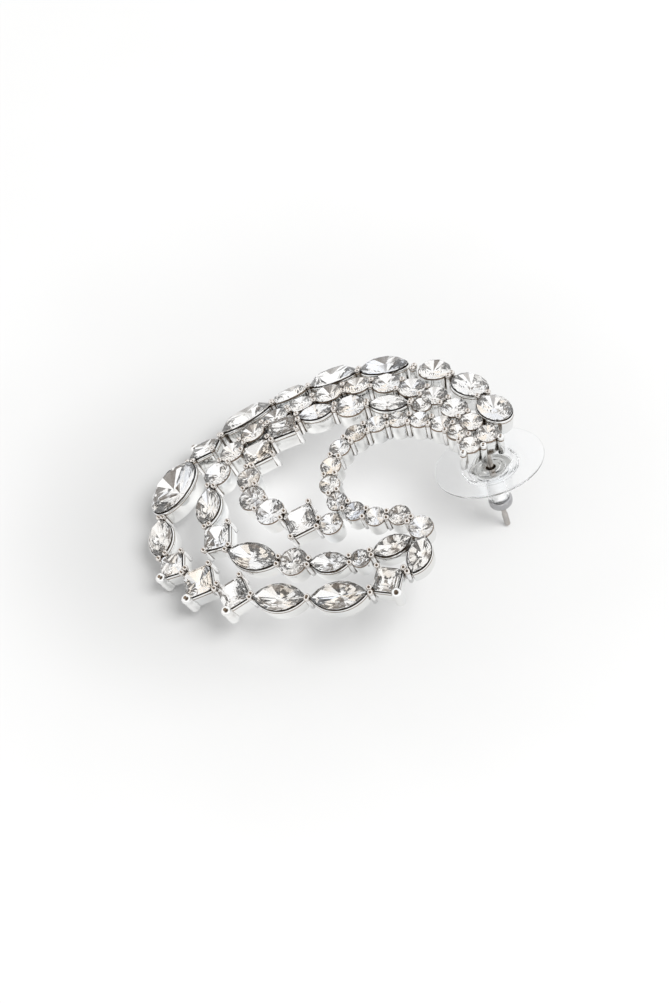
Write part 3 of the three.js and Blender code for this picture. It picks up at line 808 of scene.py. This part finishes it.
CUP_PROFILE = [
    # margin outside the stone, share of the foot's taper, height
    (CUP_WALL - 0.1, 1.0, -CUP_DEPTH),
    (CUP_WALL - 0.02, 1.0, -CUP_DEPTH + 0.02),
    (CUP_WALL, 1.0, -CUP_DEPTH + 0.08),
    (CUP_WALL - 0.032, 0.0, -0.45),
    (CUP_WALL - 0.062, 0.0, -0.39),
    (CUP_WALL - 0.042, 0.0, -0.33),
    (CUP_WALL - 0.032, 0.0, -0.26),
    (CUP_WALL - 0.032, 0.0, -0.18),
    (CUP_WALL - 0.07, 0.0, -0.13),
    (CUP_WALL - 0.1, 0.0, -0.12),
    (0.0, 0.0, -0.18),
    (-0.02, 0.0, -0.45),
    (-0.1, 1.0, -CUP_DEPTH + 0.15),
]
WALL_TOP_ROW = 3
BEAD_ROW = 6
RIM_ROW = 9
ROUND_RISE = 0.11


def make_cups(stones):
    """All cups: each outline carried up a profile, round the rolled rim and down inside to a flat floor. Dark
    metal, painted shade, covers the rim of round cups, the groove below it on the others, and the inside of
    all."""
    points, faces, shade_slots = [], [], []
    for stone in stones:
        angles = rim_angles(stone)
        is_round = stone["cut"] == "round"
        start = sum(len(part) for part in points)
        rings = []
        for row, (margin, taper, height) in enumerate(CUP_PROFILE):
            if is_round and row > WALL_TOP_ROW:
                height += ROUND_RISE
            flat = outline(stone, angles, margin) * (1 - taper * (1 - FOOT_SCALE))
            rings.append(np.concatenate([flat, np.full((len(angles), 1), height)], -1))
        points.append(seated(np.concatenate(rings), stone))
        own = tube_faces(len(CUP_PROFILE), len(angles))
        faces += [[corner + start for corner in face] for face in own]
        inner = (len(CUP_PROFILE) - 1 - RIM_ROW) * len(angles)
        # Painted shade: dark rows on the rim of round cups or the groove of others, and the whole inside
        dark_from, dark_rows = (BEAD_ROW, RIM_ROW - BEAD_ROW) if is_round else (WALL_TOP_ROW, 1)
        shade_slots += [0] * (dark_from * len(angles)) + [1] * (dark_rows * len(angles))
        shade_slots += [0] * ((RIM_ROW - dark_from - dark_rows) * len(angles)) + [1] * inner + [0, 1]
    return make_piece(
        "cups", np.concatenate(points), faces, [plating, painted_dark_metal], "root", shade_slots, sharp=30
    )


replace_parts(make_cups(all_stones), "setting_frame")

# ---------------------------------------------------------------- wires and solder


def cup_gap(points, stone):
    """Distance from points to the side of a stone's cup seen along its axis, negative inside: the nearest
    place on each edge of the outline, signed by whether the point is left of every edge."""
    local = (points - stone["centre"]) @ stone["axes"].T
    ring = outline(stone, np.linspace(0, 2 * np.pi, SEARCH_POINTS, endpoint=False), CUP_WALL)
    edges = np.roll(ring, -1, axis=0) - ring
    reach = local[:, None, :2] - ring[None]
    share = np.clip((reach * edges).sum(-1) / (edges**2).sum(-1), 0, 1)
    near = np.linalg.norm(reach - share[..., None] * edges, axis=-1).min(1)
    left = (edges[:, 0] * reach[..., 1] - edges[:, 1] * reach[..., 0] > 0).all(1)
    return np.where(left, -near, near)


def wire_place(stone, following, side):
    """Where a wire stands on one side of two cups: coming in from the side, the first place that meets both
    walls, or else beside the narrowest place. Each place is levelled until both cups are equally far."""
    across = following["centre"] - stone["centre"]
    offsets = np.arange(WIRE_REACH, -WIRE_REACH, -WIRE_STEP)
    points = stone["centre"] + across / 2 + offsets[:, None] * side
    across = unit(across)
    for _ in range(LEVEL_ROUNDS):
        lean = cup_gap(points, stone) - cup_gap(points, following)
        points = points - lean[:, None] / 2 * across
    gaps = cup_gap(points, stone)
    touching = gaps <= WIRE_RADIUS + WIRE_ROOM - WIRE_SINK
    if touching.any():
        return points[touching.argmax()], True
    return points[gaps.argmin()] + side * (WIRE_RADIUS + WIRE_ROOM), False


def wire_points(places, ups, radius, ball, foot, tip):
    """Round wires with ball tips: copies of one profile, turned about each place."""
    neck = tip - 1.75 * ball
    profile = np.array(
        [
            # distance from the middle, height
            (radius * 0.8, foot),
            (radius, foot + 0.05),
            (radius, neck - 0.12),
            (radius * 0.94, neck),
            (ball * 0.94, neck + 0.5 * ball),
            (ball, tip - 0.75 * ball),
            (ball * 0.92, tip - 0.32 * ball),
            (ball * 0.68, tip - 0.1 * ball),
            (ball * 0.34, tip),
        ]
    )
    angles = np.linspace(0, 2 * np.pi, WIRE_SIDES, endpoint=False)
    circle = np.stack([np.cos(angles), np.sin(angles)], -1)
    first = unit(np.cross(ups, np.array([0.3, 1.0, 0.1])))
    second = np.cross(ups, first)
    spread = circle[:, 0, None] * first[:, None] + circle[:, 1, None] * second[:, None]
    rings = profile[:, 0, None, None] * spread[:, None] + (profile[:, 1, None] * ups[:, None])[:, :, None]
    return (places[:, None, None] + rings).reshape(-1, 3), len(profile)


def make_wires(name, places, ups, radius, ball, foot, tip, metals, shade_collar_rows=1):
    """A piece made of many alike wires, of two metals for body and ball, each with a dark collar of so many
    rows under its ball, painted shade, and a dark top on its tip, a painted dark reflection. Foot and tip are
    the heights of its ends."""
    points, rows = wire_points(np.array(places), np.array(ups), radius, ball, foot, tip)
    faces = repeated(tube_faces(rows, WIRE_SIDES), len(places), rows * WIRE_SIDES)
    bands = [0] * NECK_ROW + [2] * shade_collar_rows + [1] * (rows - 1 - shade_collar_rows - NECK_ROW)
    used = (np.repeat(bands, WIRE_SIDES).tolist() + [0, 2]) * len(places)
    return make_piece(name, points, faces, [*metals, painted_dark_metal], "root", used, sharp=60)


def corner_places(stone):
    """The corners of a square cup, from the outermost to the innermost of its strand."""
    margin = CUP_WALL - CORNER_INSET
    signs = np.array([(1, 1, 0), (-1, 1, 0), (-1, -1, 0), (1, -1, 0)])
    local = signs * (stone["long"] / 2 + margin, stone["wide"] / 2 + margin, 0)
    corners = seated(local, stone)
    return corners[np.argsort(corners @ stone["inwards"])]


# Prongs stand on both sides of each pair of neighbours. Each that doesn't reach both cups adds a bar of
# solder between them, so a pair can have its bar twice
wire_at, wire_up, bars = [], [], []
for strand in strands:
    for stone, following in zip(strand, strand[1:]):
        direction = unit(following["centre"] - stone["centre"])
        side = unit(np.cross(dome_normal(stone["centre"][:2]), direction))
        for outwards in (side, -side):
            place, touching = wire_place(stone, following, outwards)
            wire_at.append(place)
            wire_up.append(dome_normal(place[:2]))
            if not touching:
                bars.append((stone, following))
# Square cups have a prong at both ends of a diagonal, and in the outer strand the outer one is stout
stout_at, stout_up = [], []
for strand in strands:
    for stone in strand:
        if stone["cut"] == "square":
            outermost, *_, innermost = corner_places(stone)
            outer_at, outer_up = (stout_at, stout_up) if strand is strands[-1] else (wire_at, wire_up)
            wire_at.append(innermost)
            wire_up.append(stone["axes"][2])
            outer_at.append(outermost)
            outer_up.append(stone["axes"][2])
make_wires(
    "prong_wires",
    wire_at,
    wire_up,
    radius=WIRE_RADIUS,
    ball=BALL_RADIUS,
    foot=-1.95,
    tip=0.52,
    metals=(lightened_wire_metal, shaded_tip_metal),
)
make_wires(
    "cluster_wires",
    on_dome(np.array(CLUSTER_WIRES)),
    [cluster_up] * len(CLUSTER_WIRES),
    radius=0.38,
    ball=0.4,
    foot=-2.08,
    tip=0.48,
    metals=(plating, plating),
)
make_wires(
    "corner_wires",
    stout_at,
    stout_up,
    radius=0.58,
    ball=0.6,
    foot=-1.96,
    tip=0.5,
    metals=(plating, plating),
    shade_collar_rows=0,
)


def nearest(strand, stone):
    """The stone of a strand that lies nearest to another."""
    return min(strand, key=lambda other: np.linalg.norm(other["centre"] - stone["centre"]))


first_strand, second_strand, third_strand, outer_strand = strands
bars += [
    (cluster_stone, first_strand[0]),
    (cluster_stone, third_strand[0]),
    (cluster_stone, outer_strand[0]),
    (third_strand[0], outer_strand[0]),
    (first_strand[-1], third_strand[-1]),
    (first_strand[-1], outer_strand[-1]),
    (second_strand[0], nearest(first_strand, second_strand[0])),
    (second_strand[0], nearest(third_strand, second_strand[0])),
    (second_strand[-1], nearest(first_strand, second_strand[-1])),
]


def make_solder(pairs):
    """Solder between cups: an oval bar between two points under their stones, waisted in the middle."""
    angles = np.linspace(0, 2 * np.pi, SOLDER_SIDES, endpoint=False)
    along = np.linspace(0, 1, SOLDER_ROWS)
    across, high = SOLDER_HALF_WIDTH * np.cos(angles)[:, None], SOLDER_HALF_HEIGHT * np.sin(angles)[:, None]
    waist = (1 - SOLDER_WAIST * np.sin(np.pi * along))[:, None, None]
    points = []
    for stone, following in pairs:
        start, end = (seated((0, 0, -SOLDER_DEPTH), each) for each in (stone, following))
        direction = unit(end - start)
        up = unit(stone["axes"][2] - direction * (stone["axes"][2] @ direction))
        side = np.cross(up, direction)
        middle = start + along[:, None, None] * (end - start)
        points.append((middle + waist * (across * side + high * up)).reshape(-1, 3))
    faces = repeated(tube_faces(len(along), len(angles)), len(pairs), len(along) * len(angles))
    return make_piece("solder", np.concatenate(points), faces, [plating], "root", sharp=50)


make_solder(bars)

# ---------------------------------------------------------------- post and clutch

post_direction = unit(np.array(POST_DIRECTION))
post_place = np.array(POST_PLACE)
post_base = on_dome(post_place) - CUP_DEPTH * dome_normal(post_place)
clutch_start = post_base + CLUTCH_AT * post_direction


def turned_points(profile, start, sides):
    """A profile of radius and distance turned about the post's line from a start."""
    profile = np.array(profile, float)
    angles = np.linspace(0, 2 * np.pi, sides, endpoint=False)
    first = unit(np.cross(post_direction, np.array([0.0, 1.0, 0.0])))
    second = np.cross(post_direction, first)
    circle = np.cos(angles)[:, None] * first + np.sin(angles)[:, None] * second
    rings = profile[:, 0, None, None] * circle + (profile[:, 1, None] * post_direction)[:, None]
    return (start + rings).reshape(-1, 3)


def arc(centre, radius, start, end, steps):
    """Points of a profile's arc, as radius and distance, between two angles in degrees."""
    angles = np.radians(np.linspace(start, end, steps))
    return [(centre[0] + radius * math.cos(a), centre[1] + radius * math.sin(a)) for a in angles]


def ring_faces(rows, around):
    """Faces of a profile that closes on itself, turned right round."""
    i = np.arange(rows)[:, None] * around
    i_next = ((np.arange(rows) + 1) % rows)[:, None] * around
    j = np.arange(around)[None]
    j_next = (j + 1) % around
    return np.stack([i + j, i + j_next, i_next + j_next, i_next + j], -1).reshape(-1, 4).tolist()


def make_turned_ring(name, profile, materials, rows=None, sides=96, sharp=35):
    """A ring about the post, on the clutch, from a profile that closes on itself. rows gives the material of
    the band after each point of the profile."""
    points = turned_points(profile, clutch_start, sides)
    slots_used = np.repeat(rows if rows is not None else [0] * len(profile), sides)
    faces = ring_faces(len(profile), sides)
    return make_piece(name, points, faces, materials, "clutch", slots_used=slots_used, sharp=sharp)


# Profiles are rows of distance from the middle and distance along the post
notch_radius = POST_RADIUS - 0.05
post_profile = [(POST_RADIUS, -0.3)]
post_profile += [(POST_RADIUS, 7.9), (notch_radius, 8.1), (notch_radius, 8.35), (POST_RADIUS, 8.5)]
post_profile += [(POST_RADIUS, POST_LENGTH - 0.15)]
post_profile += arc((POST_RADIUS - 0.14, POST_LENGTH - 0.15), 0.14, 15, 90, 5)
make_piece(
    "ear_post",
    turned_points(post_profile, post_base, POST_SIDES),
    tube_faces(len(post_profile), POST_SIDES),
    [post_metal],
    "root",
    sharp=40,
)

DISC_FRONT = 0.15
DISC_BACK = 0.6
DISC_RADIUS = 5.96
DISC_EDGE = (DISC_BACK - DISC_FRONT) / 2
BORE = 0.85
HUB_BACK = 1.4
RECESS_FLOOR = 1.35
PLATE_FRONT = 1.0
BARREL_END = 5.0
CUP_START = BARREL_END + 0.1
CUP_END = CUP_START + 1.3

disc_profile = [(BORE, RECESS_FLOOR), (2.44, RECESS_FLOOR), (2.5, RECESS_FLOOR - 0.06)]
disc_profile += [(2.5, DISC_FRONT + 0.06), (2.56, DISC_FRONT), (4.0, DISC_FRONT)]
disc_profile += arc((DISC_RADIUS - DISC_EDGE, DISC_FRONT + DISC_EDGE), DISC_EDGE, -90, 90, 9)
disc_profile += [(4.0, DISC_BACK), (3.2, DISC_BACK), (3.0, DISC_BACK + 0.15), (3.0, HUB_BACK - 0.1)]
disc_profile += [(2.9, HUB_BACK), (2.3, HUB_BACK + 0.25), (2.0, HUB_BACK + 1.2), (1.4, BARREL_END - 0.6)]
disc_profile += arc((1.0, BARREL_END - 0.2), 0.2, 20, 90, 4)
disc_profile += [(BORE, BARREL_END)]
clear_disc = make_turned_ring("clear_disc", disc_profile, [clear_plastic])
clear_disc.visible_shadow = False
clear_disc.visible_diffuse = False
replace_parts(clear_disc, "clutch_disc")

groove = PLATE_FRONT + 0.07
insert_profile = [(0.56, PLATE_FRONT), (0.95, PLATE_FRONT), (1.05, groove), (1.3, groove)]
insert_profile += [(1.38, PLATE_FRONT), (1.56, PLATE_FRONT), (1.64, groove), (1.98, groove)]
insert_profile += [(2.1, PLATE_FRONT)]
insert_profile += arc((2.28, PLATE_FRONT + 0.12), 0.12, -90, 90, 7)
insert_profile += [(1.2, PLATE_FRONT + 0.25), (0.78, PLATE_FRONT + 0.3), (0.75, PLATE_FRONT + 0.4)]
tube_row = len(insert_profile) - 1
insert_profile += [(0.75, BARREL_END), (0.78, CUP_START), (1.1, CUP_START)]
insert_profile += arc((1.1, CUP_START + 0.2), 0.2, -80, -10, 5)
insert_profile += [(1.3, CUP_START + 0.45), (1.27, CUP_START + 0.7), (1.16, CUP_START + 0.93)]
insert_profile += [(0.98, CUP_START + 1.12), (0.76, CUP_END - 0.05), (0.55, CUP_END), (0.43, CUP_END - 0.08)]
insert_profile += [(0.43, PLATE_FRONT + 0.3)]
insert_metals = [insert_metal, lightened_wire_metal, painted_dark_metal, end_cup_reflections_metal]
# The inside of the bore takes the dark metal: painted shade
PLATE, TUBE, SHADED_BORE, END_CUP = range(len(insert_metals))
insert_rows = np.full(len(insert_profile), PLATE)
insert_rows[tube_row] = TUBE
insert_rows[tube_row + 1 : -2] = END_CUP
insert_rows[-2:] = SHADED_BORE
metal_insert = make_turned_ring("metal_insert", insert_profile, insert_metals, insert_rows)
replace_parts(metal_insert, "clutch_insert")

# ---------------------------------------------------------------- studio

CAMERA_TARGET = (-0.001044, -0.001991, 0.006)
CAMERA_DISTANCE = 0.29609
CAMERA_AZIMUTH = 4.5
CAMERA_ELEVATION = 50.82
CAMERA_ROLL = -5.8
FLOOR_HALF = 0.9
FLOOR_GRAIN = 60.0
FLOOR_COLOURS = ((0.48, 0.48, 0.477, 1), (0.5, 0.5, 0.498, 1))
# Painted light: floor emission that brightens pools in the earring's hollow and beside it, and the floor away
# from it
FLOOR_PAINTED_GLOWS = [
    # centre, distances where the glow starts and stops changing, and its strength at each
    ((-0.0005, 0.0065, 0.0), 0.003, 0.015, 0.29, 0.0),
    ((-0.0125, 0.0005, 0.0), 0.003, 0.010, 0.26, 0.0),
    ((-0.015, 0.0, 0.0), 0.010, 0.028, 0.05, 0.17),
    ((-0.001, 0.004, 0.0), 0.024, 0.055, 0.0, 0.07),
    ((-0.007, -0.0095, 0.0), 0.003, 0.0105, 0.24, 0.0),
]
# The same five numbers for a painted reflection: a glow that only glossy rays see, so polished walls show the
# floor brighter
FLOOR_PAINTED_REFLECTION = ((-0.014, -0.004, 0.0), 0.010, 0.022, 0.24, 0.0)
LAMP_AZIMUTH = 75
LAMP_ELEVATION = 58
LAMP_DISTANCE = 1.0
LAMP_SIZE = 0.7
LAMP_POWER = 10.0
PATCH_AZIMUTH = -60
PATCH_ELEVATION = 72
PATCH_OUTER = 42
PATCH_INNER = 20
ROOM_COLOUR = (1.25, 1.25, 1.25, 1)
PATCH_COLOUR = (0.1, 0.07, 0.045, 1)
SOFT_COLOUR = (0.85, 0.85, 0.85, 1)


def looking_back(azimuth, elevation):
    """The direction from a target back to a camera or lamp that stands at those angles."""
    a, e = math.radians(azimuth), math.radians(elevation)
    return Vector((math.sin(a) * math.cos(e), -math.cos(a) * math.cos(e), math.sin(e)))


def make_camera():
    """The camera: a long lens from the viewing angle, rolled a little."""
    data = bpy.data.cameras.new("camera")
    data.lens = 100.0
    data.sensor_width = 36.0
    data.clip_start, data.clip_end = 0.01, 20.0
    camera = bpy.data.objects.new("camera", data)
    bpy.context.scene.collection.objects.link(camera)
    back = looking_back(CAMERA_AZIMUTH, CAMERA_ELEVATION)
    turn = back.to_track_quat("Z", "Y").to_matrix() @ Matrix.Rotation(math.radians(CAMERA_ROLL), 3, "Z")
    camera.matrix_world = Matrix.Translation(Vector(CAMERA_TARGET) + back * CAMERA_DISTANCE) @ turn.to_4x4()
    bpy.context.scene.camera = camera


def make_floor():
    """A plain floor with painted light: glowing pools in the earring's hollow and beside it, a rise away from
    the earring, and a glow that only polished surfaces see.
    """
    mesh = bpy.data.meshes.new("floor")
    h = FLOOR_HALF
    mesh.from_pydata([(-h, -h, 0), (h, -h, 0), (h, h, 0), (-h, h, 0)], [], [(0, 1, 2, 3)])
    material = bpy.data.materials.new("pale_sweep")
    material.use_nodes = True
    nodes, links = material.node_tree.nodes, material.node_tree.links
    shader = nodes["Principled BSDF"]
    shader.inputs["Roughness"].default_value = 0.9
    shader.inputs["Specular IOR Level"].default_value = 0.2
    shader.inputs["Emission Color"].default_value = (1, 1, 1, 1)
    coordinates = nodes.new("ShaderNodeTexCoord")
    painted_glows = []
    for place, *ramp in [*FLOOR_PAINTED_GLOWS, FLOOR_PAINTED_REFLECTION]:
        centre = nodes.new("ShaderNodeVectorMath")
        centre.operation = "DISTANCE"
        centre.inputs[1].default_value = place
        links.new(coordinates.outputs["Object"], centre.inputs[0])
        painted_glows.append(ranged(material.node_tree, centre.outputs["Value"], *ramp, "SMOOTHSTEP"))
    # The last glow is a painted reflection, seen only by glossy rays
    path = nodes.new("ShaderNodeLightPath")
    total = computed(material.node_tree, "MULTIPLY", path.outputs["Is Glossy Ray"], painted_glows.pop())
    for painted_glow in painted_glows:
        total = computed(material.node_tree, "ADD", total, painted_glow)
    links.new(total, shader.inputs["Emission Strength"])
    grain = nodes.new("ShaderNodeTexNoise")
    grain.inputs["Scale"].default_value = FLOOR_GRAIN
    links.new(coordinates.outputs["Object"], grain.inputs["Vector"])
    tone = mixed(material.node_tree, grain.outputs["Fac"], *FLOOR_COLOURS)
    links.new(tone, shader.inputs["Base Color"])
    mesh.materials.append(material)
    floor = bpy.data.objects.new("floor", mesh)
    bpy.context.scene.collection.objects.link(floor)


def make_lamp():
    """A wide soft lamp high at the right that lights matt surfaces and isn't seen in polished ones."""
    data = bpy.data.lights.new("overhead_lamp", "AREA")
    data.shape = "SQUARE"
    data.size = LAMP_SIZE
    data.energy = LAMP_POWER
    lamp = bpy.data.objects.new("overhead_lamp", data)
    bpy.context.scene.collection.objects.link(lamp)
    back = looking_back(LAMP_AZIMUTH, LAMP_ELEVATION)
    turn = back.to_track_quat("Z", "Y").to_matrix().to_4x4()
    lamp.matrix_world = Matrix.Translation(back * LAMP_DISTANCE) @ turn
    lamp.visible_glossy = False
    lamp.visible_transmission = False


def make_world():
    """A bright room with a dark patch high up, which fades with the cosine of the angle to its middle. Matt
    surfaces are lit as by a plain room."""
    world = bpy.data.worlds.new("room")
    bpy.context.scene.world = world
    world.use_nodes = True
    nodes, links = world.node_tree.nodes, world.node_tree.links
    coordinates = nodes.new("ShaderNodeTexCoord")
    towards = nodes.new("ShaderNodeVectorMath")
    towards.operation = "DOT_PRODUCT"
    towards.inputs[1].default_value = looking_back(PATCH_AZIMUTH, PATCH_ELEVATION)
    links.new(coordinates.outputs["Generated"], towards.inputs[0])
    outer, inner = math.cos(math.radians(PATCH_OUTER)), math.cos(math.radians(PATCH_INNER))
    fade = ranged(world.node_tree, towards.outputs["Value"], outer, inner, interpolation="SMOOTHSTEP")
    tone = mixed(world.node_tree, fade, ROOM_COLOUR, PATCH_COLOUR)
    path = nodes.new("ShaderNodeLightPath")
    soft = mixed(world.node_tree, path.outputs["Is Diffuse Ray"], tone, SOFT_COLOUR)
    links.new(soft, nodes["Background"].inputs["Color"])


make_camera()
make_floor()
make_world()
make_lamp()
bpy.context.scene.view_settings.view_transform = "Standard"
